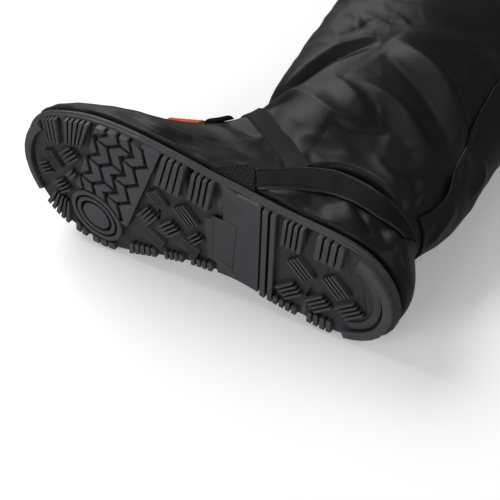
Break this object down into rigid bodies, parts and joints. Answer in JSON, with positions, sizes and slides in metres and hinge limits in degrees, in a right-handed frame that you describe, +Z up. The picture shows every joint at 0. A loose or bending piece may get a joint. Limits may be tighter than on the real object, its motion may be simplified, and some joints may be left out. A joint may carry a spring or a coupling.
{
  "type": "rain overshoe",
  "caption": "Tall black nylon rain overshoe with a lugged rubber sole, a heel strap with a hook patch, instep elastic and a back flap, lying on its inner side.",
  "frame": {"origin": "centre of the bounding box on the floor that the inner side lies on", "axes": "+Y from the sole to the collar, -X from heel to toe, +Z up, through the outer side"},
  "size_m": [0.3304, 0.4006, 0.1281],
  "materials": {
    "rubber": "semi-matte moulded rubber",
    "nylon": "coated nylon with a satin sheen",
    "strap_nylon": "doubled nylon with bound edges",
    "hook_tape": "rough hook tape",
    "elastic": "ribbed elastic",
    "trim": "smooth coated fabric"
  },
  "bodies": {
    "root": {"outsole": "rubber", "upper": "nylon", "heel_strap": "strap_nylon", "hook_patch": "hook_tape", "instep_elastic": "elastic", "back_flap": "nylon", "vamp_panel": "trim", "vamp_tab": "strap_nylon"}
  },
  "joints": []
}
